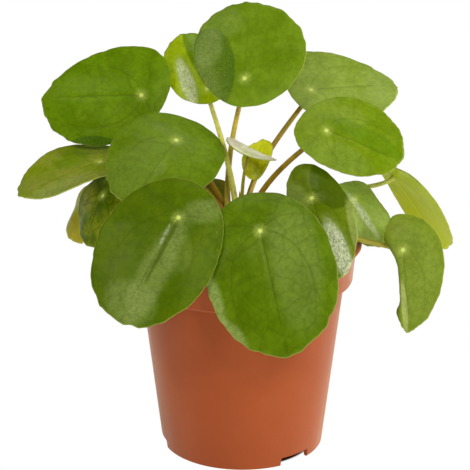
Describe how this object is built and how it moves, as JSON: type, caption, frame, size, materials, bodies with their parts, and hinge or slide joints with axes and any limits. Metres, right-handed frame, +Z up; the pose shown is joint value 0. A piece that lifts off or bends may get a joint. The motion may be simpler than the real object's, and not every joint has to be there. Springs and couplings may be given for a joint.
{
  "type": "potted Chinese money plant",
  "caption": "Potted plant with round shield-shaped leaves on slender stalks that spread from a short trunk in a tapered round plastic nursery pot.",
  "frame": {"origin": "centre of the pot's underside, on the surface that the pot stands on", "axes": "+Z up along the pot's axis, -Y towards the plant's front, +X to the right seen from the front"},
  "size_m": [0.2218, 0.1373, 0.2216],
  "materials": {
    "pot": "satin moulded plastic",
    "soil": "rough, crumbly potting mix",
    "trunk": "matt, corky",
    "stalk": "smooth, satin",
    "leaf_green": "satin",
    "leaf_olive": "satin",
    "leaf_light": "satin",
    "leaf_pale": "satin",
    "leaf_lime": "satin",
    "leaf_yellow": "satin"
  },
  "bodies": {
    "root": {"pot": "pot", "soil": "soil", "trunk": "trunk", "blade_left_upper": "leaf_green", "stalk_left_upper": "stalk", "blade_left_far": "leaf_olive", "stalk_left_far": "stalk", "blade_left_inner": "leaf_green", "stalk_left_inner": "stalk", "blade_front_left": "leaf_green", "stalk_front_left": "stalk", "blade_front": "leaf_green", "stalk_front": "stalk", "blade_top": "leaf_green", "stalk_top": "stalk", "blade_back_top": "leaf_light", "stalk_back_top": "stalk", "blade_right_upper": "leaf_green", "stalk_right_upper": "stalk", "blade_right_middle": "leaf_green", "stalk_right_middle": "stalk", "blade_right_front": "leaf_green", "stalk_right_front": "stalk", "blade_right_small": "leaf_green", "stalk_right_small": "stalk", "blade_right_back": "leaf_light", "stalk_right_back": "stalk", "blade_right_low": "leaf_green", "stalk_right_low": "stalk", "blade_left_low": "leaf_green", "stalk_left_low": "stalk", "blade_left_old": "leaf_yellow", "stalk_left_old": "stalk", "blade_back_low": "leaf_green", "stalk_back_low": "stalk", "blade_young_flat": "leaf_pale", "stalk_young_flat": "stalk", "blade_young_cupped": "leaf_lime", "stalk_young_cupped": "stalk"}
  },
  "joints": []
}
